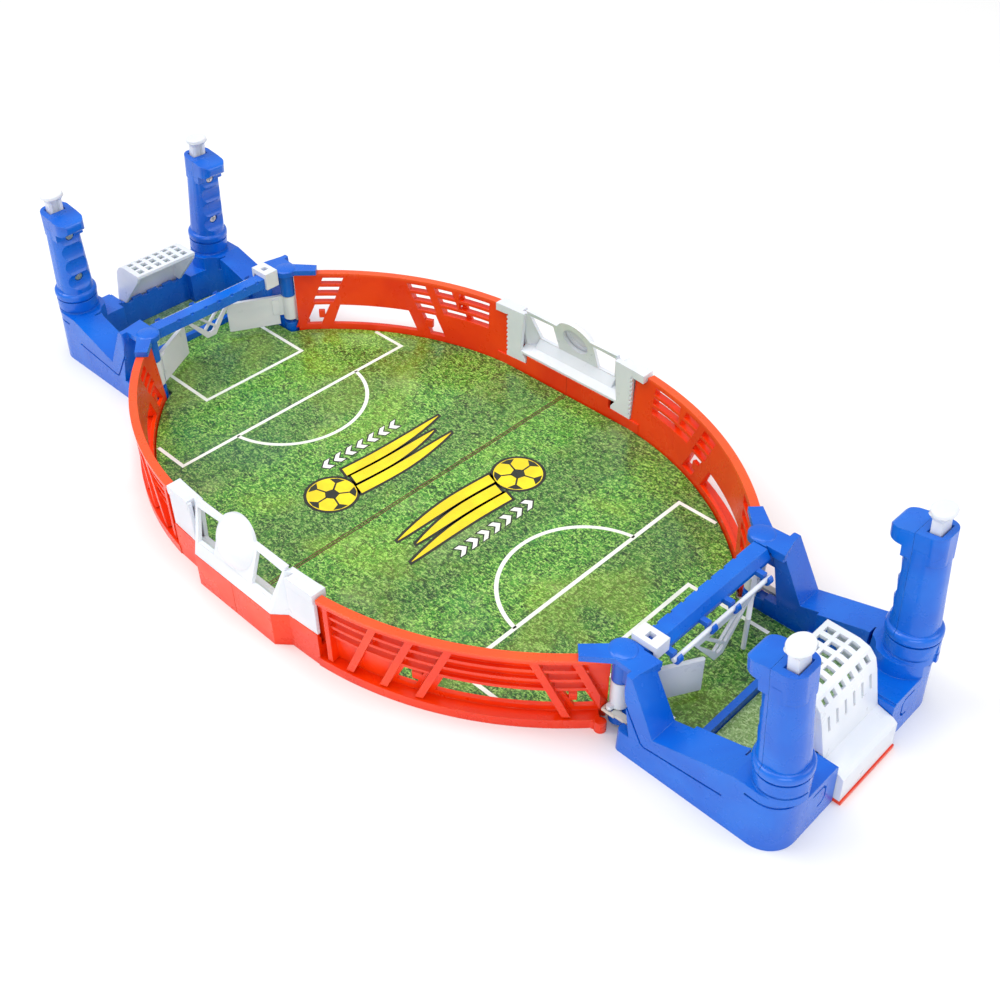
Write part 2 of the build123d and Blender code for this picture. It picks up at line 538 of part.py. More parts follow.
# ---- goal unit: moving pieces -------------------------------------------------------------
def swing_gate():
    """Scoring gate: hinge rod with a hanging lattice in the shape of a V."""
    half, tip = 22.0, 16.0
    gate = bar_y(ROD_X, ROD_Z, -37, 37, ROD_R)
    outline = [(-half - 1.5, ROD_Z), (half + 1.5, ROD_Z), (3.4, tip - 1), (-3.4, tip - 1)]
    inside = [(-half + 3.4, ROD_Z - 4.6), (half - 3.4, ROD_Z - 4.6), (1.2, tip + 2.4), (-1.2, tip + 2.4)]
    web = front(outline, ROD_X - 0.75, ROD_X + 0.75) - front(inside, ROD_X - 2, ROD_X + 2)
    for side in (1, -1):
        web += front(strut(side * 13.0, ROD_Z - 4, side * -4.0, tip + 5), ROD_X - 0.75, ROD_X + 0.75)
    web -= both(box(ROD_X - 2, ROD_X + 2, 7.2, 10.8, ROD_Z - 3.2, ROD_Z + 2))
    return gate + web


def strut(y0, z0, y1, z1):
    """Flat lattice bar between two points of the gate, in end view."""
    width = 1.1
    return [(y0 - width, z0), (y0 + width, z0), (y1 + width, z1), (y1 - width, z1)]


def score_slider():
    """Clip that rides along the crossbar to keep the score."""
    y0, y1 = -44.9, -35.4
    clip = box(BAR_X0 - 1.9, BAR_X1 + 1.7, y0, y1, 40.6, 51.6)
    clip -= box(BAR_X0 - 0.1, BAR_X1 + 0.1, y0 - 1, y1 + 1, 39, BAR_Z1 + 0.12)
    clip -= box(BAR_X1 - 1, BAR_X1 + 4, y0 - 1, y1 + 1, 39, 44.0)
    middle = (y0 + y1) / 2
    return clip - box(187.2, 191.0, middle - 1.9, middle + 1.9, 47, 53)


def flipper():
    """Right-hand flipper: sleeve on the post, blade and horn."""
    blade = box(3.6, FLIP_LEN - 1.2, -FLIP_T / 2, FLIP_T / 2, FLIP_Z0, FLIP_Z1)
    blade += disc(FLIP_LEN - 1.2, 0, FLIP_Z0, FLIP_Z1, FLIP_T / 2)
    blade += box(7.0, 11.5, -FLIP_T / 2 - 0.8, FLIP_T / 2 + 0.8, 17, FLIP_Z1 - 1.5)
    blade -= box(0, 7.4, -5, 5, 0, 15.6)
    sleeve = disc(0, 0, 12.8, FLIP_Z1, SLEEVE_R)
    blade = Rot(0, 0, FLIP_REST) * blade
    horn = box(0, HORN_R, -1.5, 1.5, 12.8, 15.0) + disc(HORN_R, 0, 12.8, 15.0, 1.5)
    horn += disc(HORN_R, 0, LINK_Z0 - 0.2, 13, 1.0)
    horn = Rot(0, 0, HORN_REST) * horn
    return Pos(POST_X, POST_Y) * (blade + sleeve + horn - disc(0, 0, 0, 40, PIN_R + RUN))


def flipper_pin():
    return disc(POST_X, POST_Y, 4.2, 46.2, PIN_R)


def link():
    """Flat link that carries the pull from the bell crank to the flipper horn."""
    tip_x = POST_X + HORN_R * cos(radians(HORN_REST))
    tail_x = CRANK_X - ARM_PULL * sin(radians(CRANK_TURN / 2))
    bar = box(tip_x + 0.6, tail_x + 2.2, LINK_Y - LINK_W / 2, LINK_Y + LINK_W / 2, LINK_Z0, LINK_Z1)
    eye = box(tip_x - 3.0, tip_x + 4.2, LINK_Y - 3.3, LINK_Y + 2.6, LINK_Z0, LINK_Z1)
    bar += eye
    bar -= box(tip_x - 1.5, tip_x + 1.9, LINK_Y - 2.5, LINK_Y + 1.9, 0, 20)
    return bar + bar_y(tail_x, (LINK_Z0 + LINK_Z1) / 2, LINK_Y, 61.3, 0.8)


def bell_crank():
    """Crank that turns the button's push into a pull on the link."""
    hub = bar_y(CRANK_X, CRANK_Z, 49.8, 61.4, 2.5)
    push = arm(ARM_PUSH, 1.2, 49.8, 52.8, -ARM_PUSH_REST)
    pull = arm(ARM_PULL + 2.2, 2.1, 59.7, 61.4, -(90 + CRANK_TURN / 2))
    slot_cut = Pos(CRANK_X, 60.5, CRANK_Z) * Rot(0, -(90 + CRANK_TURN / 2), 0) * Pos(ARM_PULL, 0, 0)
    pull -= slot_cut * Box(3.4, 6, 2.1)
    return hub + push + pull - bar_y(CRANK_X, CRANK_Z, 40, 70, 1.0 + RUN)


def arm(length, half, y0, y1, turn):
    """Crank arm that points along +X before it is turned about Y."""
    blade = Pos(length / 2, (y0 + y1) / 2, 0) * Box(length, y1 - y0, 2 * half)
    blade += Pos(length, (y0 + y1) / 2, 0) * Rot(90, 0, 0) * Cylinder(half, y1 - y0)
    return Pos(CRANK_X, 0, CRANK_Z) * Rot(0, turn, 0) * blade


def crank_pin():
    return bar_y(CRANK_X, CRANK_Z, 47.1, 63.7, 1.0)


def thumb_button():
    """Thumb button: oval cap, channel stem and the push bar inside the grip."""
    y = GRIP_Y
    push = box(PUSH_X - 2.5, PUSH_X + 2.5, y - 4.4, y + 4.4, 72.4, 110.6)
    push -= box(PUSH_X - 3, PUSH_X - 0.2, y - 2.4, y + 2.4, 100, 109.4)
    push += disc(PUSH_X, y, ROD_BOTTOM, 74, 1.8)
    neck = Pos(PUSH_X, y, 107.8) * extrude(RectangleRounded(5.0, 8.8, 0.8), 3.0, taper=-36)
    plan = Ellipse(5.5, 6.9)
    cap = Pos(PUSH_X, y, 110.6) * extrude(plan, 2.4)
    crown = cap.edges().group_by(Axis.Z)[-1]
    cap = fillet(crown, 1.1)
    channel = box(PUSH_X - 9, PUSH_X - 0.2, y - 2.4, y + 2.4, 100, 109.4)
    return lean(push + (neck - channel) + cap)


def button_spring():
    """Return spring on the push rod, between the grip's shelf and the bar."""
    z0, z1 = 50.2, 72.2
    wire, radius, turns = 0.45, 3.0, 7.5
    height = z1 - z0 - 2 * wire
    path = Helix(pitch=height / turns, height=height, radius=radius)
    section = Plane(origin=path @ 0, z_dir=path % 0) * Circle(wire)
    coil = sweep(section, path=path)
    return lean(Pos(PUSH_X, GRIP_Y, z0 + wire) * coil)


# ---- grips --------------------------------------------------------------------------------
def grip_solid():
    """Whole outer form of a grip with its finger scallops and hooked top."""
    low = Pos(GRIP_X - 0.3, GRIP_Y, BOSS_TOP) * RectangleRounded(22.4, 21.4, 9.6)
    mid = Pos(GRIP_X - 0.1, GRIP_Y, 93) * RectangleRounded(19.6, 18.4, 8.6)
    shaft = loft([low, mid])
    for z in SCALLOP_Z:
        x = GRIP_X - 11.4 + (z - 48) * 0.03
        shaft -= bar_y(x - 4.6, z, GRIP_Y - 15, GRIP_Y + 15, 7.5)
    side = Polygon((259, 87), (259, 92.4), (251, 93.4), (251, 100.2), (262, 101.4), (277.2, 102.0),
                   (277.2, 87), align=None)
    side = fillet(side.vertices().group_by(Axis.X)[0], 2.8)
    head = extrude(Plane.XZ.offset(9.1 - GRIP_Y) * side, 18.2, (0, 1, 0))
    head &= Pos(264.0, GRIP_Y, 80) * extrude(RectangleRounded(26.6, 18.2, 6.6), 30)
    spigot = disc(GRIP_X, GRIP_Y, 34.2, BOSS_TOP + 1, 10.0)
    collar = disc(GRIP_X, GRIP_Y, BOSS_TOP + 0.1, BOSS_TOP + COLLAR_T, 13.0)
    rim = collar.edges().filter_by(GeomType.CIRCLE)
    collar = fillet(rim, 2.2)
    return shaft + head + spigot + collar


def grip_hollow():
    """Space inside a grip for the push bar, its spring and the clamp ribs."""
    low = Pos(GRIP_X + 1.0, GRIP_Y, 52.2) * RectangleRounded(13.6, 16.0, 6.4)
    high = Pos(GRIP_X + 0.8, GRIP_Y, 93) * RectangleRounded(12.4, 13.4, 5.6)
    room = loft([low, high])
    room -= box(SPLIT_X - 12, PUSH_X - 3.9, GRIP_Y - 9, GRIP_Y + 9, SCREW_Z[0] - 3, SCREW_Z[0] + 3)
    room -= box(SPLIT_X - 12, PUSH_X - 3.9, GRIP_Y - 9, GRIP_Y + 9, SCREW_Z[1] - 3, SCREW_Z[1] + 3)
    room += disc(GRIP_X, GRIP_Y, 33, 47.8, 7.6)
    room += disc(PUSH_X, GRIP_Y, 40, 60, 1.8 + RUN)
    room += disc(PUSH_X, GRIP_Y, 50, 60, 3.9)
    room += box(PUSH_X - 2.7, PUSH_X + 2.7, GRIP_Y - 4.6, GRIP_Y + 4.6, 64, 104)
    room += box(PUSH_X - 3.5, PUSH_X + 3.5, GRIP_Y - 5.4, GRIP_Y + 5.4, 100.4, 104)
    for z in SCREW_Z:
        room += bar_x(GRIP_Y, z, SPLIT_X - 20, SPLIT_X + 2.4, 1.0)
        room += bar_x(GRIP_Y, z, SPLIT_X - 20, SPLIT_X, 1.3)
        room += bar_x(GRIP_Y, z, SPLIT_X - 20, SPLIT_X - 2.4, 2.9)
    return room


def grip_front():
    """Finger half of a grip."""
    half = box(240, SPLIT_X - 0.05, 30, 75, 30, 110)
    return lean((grip_solid() - grip_hollow()) & half)


def grip_back():
    """Palm half of a grip."""
    half = box(SPLIT_X + 0.05, 290, 30, 75, 30, 110)
    return lean((grip_solid() - grip_hollow()) & half)


def grip_screws(left_side, turn):
    """The two screws that clamp one grip."""
    screws = []
    for z in SCREW_Z:
        head = bar_x(GRIP_Y, z, SPLIT_X - 4.2, SPLIT_X - 2.45, 2.5)
        cross = box(SPLIT_X - 5, SPLIT_X - 3.5, GRIP_Y - 1.6, GRIP_Y + 1.6, z - 0.35, z + 0.35)
        cross += box(SPLIT_X - 5, SPLIT_X - 3.5, GRIP_Y - 0.35, GRIP_Y + 0.35, z - 1.6, z + 1.6)
        screw = head - cross + bar_x(GRIP_Y, z, SPLIT_X - 3, SPLIT_X + 2.2, 0.95)
        screw = flip(lean(screw)) if left_side else lean(screw)
        screws.append(Rot(0, 0, turn) * screw)
    return screws


# ---- the whole game -----------------------------------------------------------------------
def write(name, shape):
    """Write one node to its STEP file."""
    if isinstance(shape, (list, tuple)):
        shape = Compound(children=list(shape))
    export_step(shape, f"parts/{name}.step")


def build():
    os.makedirs("parts", exist_ok=True)
    once = {"end_base": end_base(), "bottom_cover": bottom_cover(), "crossbar": crossbar(),
            "goal_net": goal_net(), "swing_gate": swing_gate(), "score_slider": score_slider(),
            "pit_mat": pit_mat(), "pitch_board": pitch_board()}
    right = {"side_wall": side_wall(), "grip_front": grip_front(), "grip_back": grip_back(),
             "thumb_button": thumb_button(), "button_spring": button_spring(),
             "bell_crank": bell_crank(), "link": link(), "flipper": flipper(),
             "flipper_pin": flipper_pin(), "crank_pin": crank_pin()}
    pins, screws, feet = [], [], []
    for end, turn in (("home", 0), ("away", 180)):
        for name, shape in once.items():
            write(f"{end}_{name}", Rot(0, 0, turn) * shape)
        feet += cover_screws(turn)
        for side in ("right", "left"):
            for name, shape in right.items():
                placed = shape if side == "right" else flip(shape)
                placed = Rot(0, 0, turn) * placed
                if name == "crank_pin":
                    pins.append(placed)
                else:
                    write(f"{end}_{side}_{name}", placed)
            screws += grip_screws(side == "left", turn)
    write("crank_pins", pins)
    write("grip_screws", screws)
    write("cover_screws", feet)
    bay = throw_in_bay()
    write("far_throw_in_bay", bay)
    write("near_throw_in_bay", Rot(0, 0, 180) * bay)


build()
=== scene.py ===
import json
import math

import bpy
from mathutils import Matrix, Vector


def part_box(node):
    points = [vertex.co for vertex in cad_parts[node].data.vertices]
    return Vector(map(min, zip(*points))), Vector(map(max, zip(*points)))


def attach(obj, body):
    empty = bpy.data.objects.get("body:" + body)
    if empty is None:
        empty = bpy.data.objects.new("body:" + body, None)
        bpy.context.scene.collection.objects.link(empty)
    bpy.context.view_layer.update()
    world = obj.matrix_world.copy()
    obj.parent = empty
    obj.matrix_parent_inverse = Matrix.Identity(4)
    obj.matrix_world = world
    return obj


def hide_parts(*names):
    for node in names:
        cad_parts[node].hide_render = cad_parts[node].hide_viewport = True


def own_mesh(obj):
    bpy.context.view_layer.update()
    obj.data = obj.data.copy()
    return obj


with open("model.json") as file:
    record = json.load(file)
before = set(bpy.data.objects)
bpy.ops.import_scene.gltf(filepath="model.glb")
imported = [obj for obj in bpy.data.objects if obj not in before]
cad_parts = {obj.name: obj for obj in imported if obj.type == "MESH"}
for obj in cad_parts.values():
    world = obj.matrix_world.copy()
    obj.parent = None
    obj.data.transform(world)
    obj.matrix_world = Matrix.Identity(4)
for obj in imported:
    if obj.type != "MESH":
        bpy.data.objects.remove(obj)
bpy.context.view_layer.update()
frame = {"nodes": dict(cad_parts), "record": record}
nodes = frame["nodes"]
MM = 0.001
BOARD_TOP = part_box("home_pitch_board")[1].z


# ---- node helpers -------------------------------------------------------------------------
class Graph:
    """Short names for the shader nodes used below."""

    def __init__(self, name):
        self.mat = bpy.data.materials.new(name)
        self.mat.use_nodes = True
        self.tree = self.mat.node_tree
        self.tree.nodes.clear()
        self.out = self.tree.nodes.new("ShaderNodeOutputMaterial")
        self.bsdf = self.tree.nodes.new("ShaderNodeBsdfPrincipled")
        self.tree.links.new(self.bsdf.outputs[0], self.out.inputs[0])
        self.coord = self.add("ShaderNodeTexCoord").outputs["Object"]

    def add(self, kind):
        return self.tree.nodes.new(kind)

    def put(self, socket, value):
        if isinstance(value, bpy.types.NodeSocket):
            self.tree.links.new(value, socket)
        elif value is not None:
            socket.default_value = value

    def math(self, op, a, b=None, c=None, clamp=False):
        n = self.add("ShaderNodeMath")
        n.operation = op
        n.use_clamp = clamp
        for socket, value in zip(n.inputs, (a, b, c)):
            self.put(socket, value)
        return n.outputs[0]

    def noise(self, scale, detail=3.0, rough=0.5, vector=None, warp=0.0):
        n = self.add("ShaderNodeTexNoise")
        n.inputs["Scale"].default_value = scale
        n.inputs["Detail"].default_value = detail
        n.inputs["Roughness"].default_value = rough
        n.inputs["Distortion"].default_value = warp
        self.put(n.inputs["Vector"], vector or self.coord)
        return n.outputs["Fac"]

    def voronoi(self, scale, vector):
        n = self.add("ShaderNodeTexVoronoi")
        n.inputs["Scale"].default_value = scale
        self.put(n.inputs["Vector"], vector)
        return n.outputs["Distance"]

    def ramp(self, value, low, high, out_low=0.0, out_high=1.0):
        n = self.add("ShaderNodeMapRange")
        n.interpolation_type = "SMOOTHSTEP"
        for socket, v in zip(n.inputs, (value, low, high, out_low, out_high)):
            self.put(socket, v)
        return n.outputs[0]

    def mix(self, factor, a, b, kind="MIX"):
        n = self.add("ShaderNodeMix")
        n.data_type = "RGBA"
        n.blend_type = kind
        self.put(n.inputs["Factor"], factor)
        self.put(n.inputs["A"], a if isinstance(a, bpy.types.NodeSocket) else rgba(a))
        self.put(n.inputs["B"], b if isinstance(b, bpy.types.NodeSocket) else rgba(b))
        return n.outputs["Result"]

    def split(self):
        n = self.add("ShaderNodeSeparateXYZ")
        self.put(n.inputs[0], self.coord)
        return n.outputs

    def stretch(self, x, y, z):
        n = self.add("ShaderNodeMapping")
        self.put(n.inputs["Vector"], self.coord)
        n.inputs["Scale"].default_value = (x, y, z)
        return n.outputs[0]

    def rounded(self, radius):
        n = self.add("ShaderNodeBevel")
        n.samples = 4
        n.inputs["Radius"].default_value = radius
        return n.outputs[0]

    def edge(self, radius):
        """Near 1 along outer and inner edges, where the rounded normal leaves the true one."""
        geometry = self.add("ShaderNodeNewGeometry")
        dot = self.add("ShaderNodeVectorMath")
        dot.operation = "DOT_PRODUCT"
        self.put(dot.inputs[0], self.rounded(radius))
        self.put(dot.inputs[1], geometry.outputs["Normal"])
        return self.ramp(dot.outputs["Value"], 0.99, 0.80)

    def bump(self, height, strength, distance, normal=None):
        n = self.add("ShaderNodeBump")
        n.inputs["Strength"].default_value = strength
        n.inputs["Distance"].default_value = distance
        self.put(n.inputs["Height"], height)
        if normal is not None:
            self.put(n.inputs["Normal"], normal)
        return n.outputs[0]

    def finish(self, color, rough, normal, **more):
        self.put(self.bsdf.inputs["Base Color"], color)
        self.put(self.bsdf.inputs["Roughness"], rough)
        self.put(self.bsdf.inputs["Normal"], normal)
        for key, value in more.items():
            self.put(self.bsdf.inputs[key.replace("_", " ")], value)
        return self.mat


def rgba(color):
    """Opaque colour from three channels."""
    return (*color, 1.0)


def srgb(r, g, b):
    """Linear colour from 8-bit sRGB."""
    def channel(v):
        v /= 255.0
        return v / 12.92 if v <= 0.04045 else ((v + 0.055) / 1.055) ** 2.4
    return channel(r), channel(g), channel(b)


# ---- materials ----------------------------------------------------------------------------
def moulded(name, base, deep, worn, rough=0.27, glow=0.0):
    """Glossy moulded plastic: slow flow marks, fine orange peel, scuffs and soft edges."""
    g = Graph(name)
    flow = g.noise(26, 3, 0.55, warp=0.6)
    color = g.mix(g.ramp(flow, 0.35, 0.68), deep, base)
    scuff = g.ramp(g.noise(900, 2, 0.7, g.stretch(1, 0.12, 0.4)), 0.70, 0.78)
    patch = g.ramp(g.noise(38, 2, 0.5), 0.50, 0.66)
    scuffs = g.math("MULTIPLY", scuff, patch)
    edge = g.math("MULTIPLY", g.edge(0.0007), g.ramp(g.noise(140, 2, 0.6), 0.40, 0.62))
    color = g.mix(g.math("MULTIPLY", edge, 0.30), color, worn)
    color = g.mix(g.math("MULTIPLY", scuffs, 0.16), color, worn)
    roughness = g.ramp(g.noise(60, 4, 0.6), 0.30, 0.70, rough - 0.07, rough + 0.08)
    roughness = g.math("ADD", roughness, g.math("MULTIPLY", scuffs, 0.22), clamp=True)
    peel = g.noise(1500, 2, 0.5)
    normal = g.bump(peel, 0.10, 0.00006, g.rounded(0.0005))
    normal = g.bump(g.noise(90, 2, 0.4), 0.12, 0.0003, normal)
    return g.finish(color, roughness, normal, Coat_Weight=0.12, Coat_Roughness=0.12, IOR=1.46,
                    Subsurface_Weight=glow, Subsurface_Radius=(0.006, 0.003, 0.002),
                    Subsurface_Scale=0.5)


def red_wall():
    """Red-orange plastic, paler along the thin top rim where light comes through."""
    g = Graph("red_plastic")
    z = g.split()["Z"]
    flow = g.noise(24, 3, 0.55, warp=0.6)
    color = g.mix(g.ramp(flow, 0.35, 0.68), srgb(232, 46, 0), srgb(244, 62, 2))
    rim = g.ramp(z, 0.0425, 0.0449)
    color = g.mix(g.math("MULTIPLY", rim, 0.40), color, srgb(250, 112, 52))
    # Painted shade: the wall is darkened towards its bottom, where it meets the board.
    low = g.ramp(z, 0.012, 0.0, 0.0, 0.28)
    color = g.mix(low, color, srgb(206, 34, 2))
    edge = g.math("MULTIPLY", g.edge(0.0007), g.ramp(g.noise(140, 2, 0.6), 0.40, 0.62))
    color = g.mix(g.math("MULTIPLY", edge, 0.30), color, srgb(255, 130, 80))
    scuff = g.ramp(g.noise(800, 2, 0.7, g.stretch(0.12, 0.4, 1)), 0.70, 0.78)
    scuffs = g.math("MULTIPLY", scuff, g.ramp(g.noise(38, 2, 0.5), 0.52, 0.66))
    color = g.mix(g.math("MULTIPLY", scuffs, 0.14), color, srgb(250, 150, 120))
    roughness = g.ramp(g.noise(55, 4, 0.6), 0.30, 0.70, 0.24, 0.38)
    normal = g.bump(g.noise(1400, 2, 0.5), 0.10, 0.00006, g.rounded(0.0005))
    normal = g.bump(g.noise(80, 2, 0.4), 0.12, 0.0003, normal)
    return g.finish(color, roughness, normal, Coat_Weight=0.1, Coat_Roughness=0.15, IOR=1.46,
                    Subsurface_Weight=0.10, Subsurface_Radius=(0.006, 0.002, 0.001),
                    Subsurface_Scale=0.5)


def grass(name, dark, mid, light, straw, gloss, bands):
    """Printed turf under clear film: tufts, blades, mown bands and a faint wrinkle in the film."""
    g = Graph(name)
    tuft = g.noise(190, 5, 0.72, warp=1.2)
    blade = g.voronoi(620, g.stretch(1.0, 0.45, 1.0))
    blade2 = g.noise(760, 3, 0.8, g.stretch(0.5, 1.0, 1.0), warp=0.8)
    color = g.mix(g.ramp(tuft, 0.36, 0.60), dark, mid)
    color = g.mix(g.math("MULTIPLY", g.ramp(blade2, 0.48, 0.60), 0.90), color, light)
    color = g.mix(g.math("MULTIPLY", g.ramp(blade, 0.34, 0.10), 0.55), color, straw)
    gap = g.noise(880, 2, 0.7, g.stretch(1.0, 0.6, 1.0), warp=0.5)
    color = g.mix(g.math("MULTIPLY", g.ramp(gap, 0.47, 0.36), 0.85), color, dark)
    if bands:
        x = g.split()["X"]
        wobble = g.math("MULTIPLY_ADD", g.noise(18, 2, 0.5), 0.010, x)
        wave = g.math("SINE", g.math("MULTIPLY", wobble, 2 * math.pi / 0.076))
        band = g.ramp(wave, -0.5, 0.5)
        color = g.mix(g.math("MULTIPLY", band, 0.30), color, light, "SOFT_LIGHT")
        color = g.mix(g.math("MULTIPLY", g.math("SUBTRACT", 1.0, band), 0.22), color, dark)
    hue = g.noise(13, 3, 0.6, warp=0.8)
    color = g.mix(g.math("MULTIPLY", g.ramp(hue, 0.50, 0.66), 0.16), color, srgb(186, 214, 52))
    color = g.mix(g.math("MULTIPLY", g.ramp(hue, 0.46, 0.32), 0.16), color, srgb(44, 128, 92))
    worn = g.ramp(g.noise(30, 3, 0.6), 0.55, 0.75)
    color = g.mix(g.math("MULTIPLY", worn, 0.18), color, straw)
    roughness = g.ramp(g.noise(120, 3, 0.6), 0.30, 0.70, gloss - 0.06, gloss + 0.10)
    normal = g.bump(g.noise(500, 3, 0.6), 0.12, 0.00010)
    normal = g.bump(g.noise(9, 2, 0.4), 0.20, 0.0008, normal)
    return g.finish(color, roughness, normal, Coat_Weight=0.45, Coat_Roughness=0.10, IOR=1.45)


def ink(name, color, pale, show):
    """Screen-printed ink with a slightly broken edge tone from the print below."""
    g = Graph(name)
    speck = g.ramp(g.noise(1300, 3, 0.75), 0.66, 0.80)
    tint = g.mix(g.ramp(g.noise(60, 3, 0.6), 0.35, 0.65), color, pale)
    tint = g.mix(g.math("MULTIPLY", speck, show), tint, srgb(70, 110, 30))
    roughness = g.ramp(g.noise(150, 3, 0.6), 0.30, 0.70, 0.26, 0.42)
    normal = g.bump(g.noise(700, 3, 0.6), 0.10, 0.00006)
    return g.finish(tint, roughness, normal, Coat_Weight=0.4, Coat_Roughness=0.1)


def plated_steel():
    """Zinc-plated steel with fine turning marks and dull spots."""
    g = Graph("steel")
    spots = g.ramp(g.noise(420, 4, 0.7), 0.48, 0.66)
    color = g.mix(spots, srgb(196, 198, 202), srgb(140, 142, 148))
    rough = g.ramp(g.noise(900, 3, 0.6), 0.30, 0.70, 0.20, 0.42)
    normal = g.bump(g.noise(2200, 2, 0.6, g.stretch(1, 1, 0.15)), 0.18, 0.00005, g.rounded(0.0002))
    return g.finish(color, rough, normal, Metallic=1.0)


def turf(name, gloss, bands, colours):
    """Grass print from its dark, middle, light and straw colours in 8-bit sRGB."""
    return grass(name, *(srgb(*c) for c in colours), gloss, bands)


MATERIALS = {
    "blue_plastic": moulded("blue_plastic", srgb(2, 104, 212), srgb(0, 90, 200),
                            srgb(90, 164, 242), 0.26),
    "red_plastic": red_wall(),
    "white_plastic": moulded("white_plastic", srgb(229, 232, 238), srgb(217, 222, 230),
                             srgb(250, 250, 252), 0.33, 0.08),
    "pitch_print": turf("pitch_print", 0.34, True,
                        ((10, 50, 14), (64, 134, 40), (170, 220, 112), (206, 232, 146))),
    "pit_print": turf("pit_print", 0.38, False,
                      ((70, 112, 60), (126, 168, 104), (190, 216, 160), (214, 228, 184))),
    "steel": plated_steel(),
    "acetal": moulded("acetal", srgb(222, 222, 212), srgb(204, 204, 192),
                      srgb(245, 245, 240), 0.42, 0.05),
}
SLOTS = {s["node"]: s["material_slot"] for s in frame["record"]["subparts"]}
for name, node in nodes.items():
    node.data.materials.clear()
    node.data.materials.append(MATERIALS[SLOTS[name]])

INK_WHITE = ink("ink_white", srgb(244, 246, 240), srgb(232, 238, 226), 0.10)
INK_YELLOW = ink("ink_yellow", srgb(250, 226, 10), srgb(240, 208, 4), 0.06)
INK_BLACK = ink("ink_black", srgb(16, 20, 12), srgb(30, 36, 20), 0.10)
# Painted shade: the brown ink is a dark sheet standing in for the shaded gap where the two boards
# meet.
BROWN_GAP_SHADE = ink("brown_gap_shade", srgb(104, 52, 26), srgb(84, 40, 20), 0.10)


# ---- printed markings ---------------------------------------------------------------------
INK_T = 0.00003                             # thickness of one ink layer, metres


def signed_area(points):
    """Twice the area of a polygon, positive when it runs anticlockwise."""
    return sum(a[0] * b[1] - b[0] * a[1] for a, b in zip(points, points[1:] + points[:1]))


class Sheet:
    """Flat printed shapes, collected in millimetres and turned into one thin mesh."""

    def __init__(self):
        self.points = []
        self.faces = []

    def polygon(self, points):
        first = len(self.points)
        self.points += [(x, y) for x, y in points]
        self.faces.append(tuple(range(first, first + len(points))))

    def ribbon(self, points, width):
        """Open line of even width with mitred corners."""
        segments = list(zip(points, points[1:]))
        left, right = [], []
        for i, (x, y) in enumerate(points):
            normals = []
            for a, b in segments[max(i - 1, 0):i + 1]:
                length = math.hypot(b[0] - a[0], b[1] - a[1])
                normals.append((-(b[1] - a[1]) / length, (b[0] - a[0]) / length))
            nx = sum(n[0] for n in normals) / len(normals)
            ny = sum(n[1] for n in normals) / len(normals)
            scale = width / 2 / (nx * nx + ny * ny)
            left.append((x + nx * scale, y + ny * scale))
            right.append((x - nx * scale, y - ny * scale))
        for i in range(len(segments)):
            self.polygon([left[i], right[i], right[i + 1], left[i + 1]])

    def outlined(self, points, margin):
        """Polygon grown outwards by a margin, for an outline printed under it."""
        count = len(points)
        sign = 1 if signed_area(points) > 0 else -1
        grown = []
        for i, (x, y) in enumerate(points):
            normals = []
            for a, b in ((points[i - 1], (x, y)), ((x, y), points[(i + 1) % count])):
                length = math.hypot(b[0] - a[0], b[1] - a[1])
                normals.append((sign * (b[1] - a[1]) / length, -sign * (b[0] - a[0]) / length))
            nx = (normals[0][0] + normals[1][0]) / 2
            ny = (normals[0][1] + normals[1][1]) / 2
            scale = margin / max(nx * nx + ny * ny, 0.25)
            grown.append((x + nx * scale, y + ny * scale))
        self.polygon(grown)

    def print_on(self, name, z, material, turn):
        """Lay the shapes on the board at height z, turned about the centre spot."""
        c, s = math.cos(turn), math.sin(turn)
        flat = [((x * c - y * s) * MM, (x * s + y * c) * MM) for x, y in self.points]
        count = len(flat)
        verts = [(x, y, z) for x, y in flat] + [(x, y, z + INK_T) for x, y in flat]
        faces = []
        for face in self.faces:
            face = face if signed_area([flat[i] for i in face]) > 0 else face[::-1]
            faces.append(tuple(i + count for i in face))
            faces.append(face[::-1])
            faces += [(a, b, b + count, a + count) for a, b in zip(face, face[1:] + face[:1])]
        data = bpy.data.meshes.new(name)
        data.from_pydata(verts, [], faces)
        data.materials.append(material)
        piece = bpy.data.objects.new(name, data)
        bpy.context.scene.collection.objects.link(piece)
        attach(piece, "game")


def arc(cx, cy, radius, a0, a1, steps):
    """Points along an arc between two angles in degrees."""
    angles = [math.radians(a0 + (a1 - a0) * i / steps) for i in range(steps + 1)]
    return [(cx + radius * math.cos(a), cy + radius * math.sin(a)) for a in angles]


LINE_W = 2.3
BOX_X, BOX_Y = 113.0, 85.5                  # penalty box: its line across the pitch, and half width
GOAL_X, GOAL_Y = 156.0, 37.4                # goal box
MOUTH_X = 205.0
ARC_AT, ARC_SIZE = 120.4, 46.9              # penalty arc: centre and radius
WALL_AT, WALL_R = (34.0, -67.0), 184.5      # curved edge of the printed board
BALL_X, BALL_Y, BALL_R = 31.5, 42.5, 14.2   # ball of the emblem
SHEAR, SHEAR_X = 0.30, 34.0                 # slant of the emblem, and where it leaves y unchanged
STREAK_EDGE, BALL_EDGE, CHEVRON_EDGE = 1.7, 1.8, 0.8    # black outline round each shape
SEAM_X, SEAM_W, SEAM_INSET = 0.9, 0.7, 0.2  # painted shade: dark line along the joint of the two boards, standing in for the shaded gap between them


def wall_x(y):
    """Where the edge of the board crosses a given y, in millimetres."""
    return WALL_AT[0] + math.sqrt(WALL_R ** 2 - (abs(y) - WALL_AT[1]) ** 2)


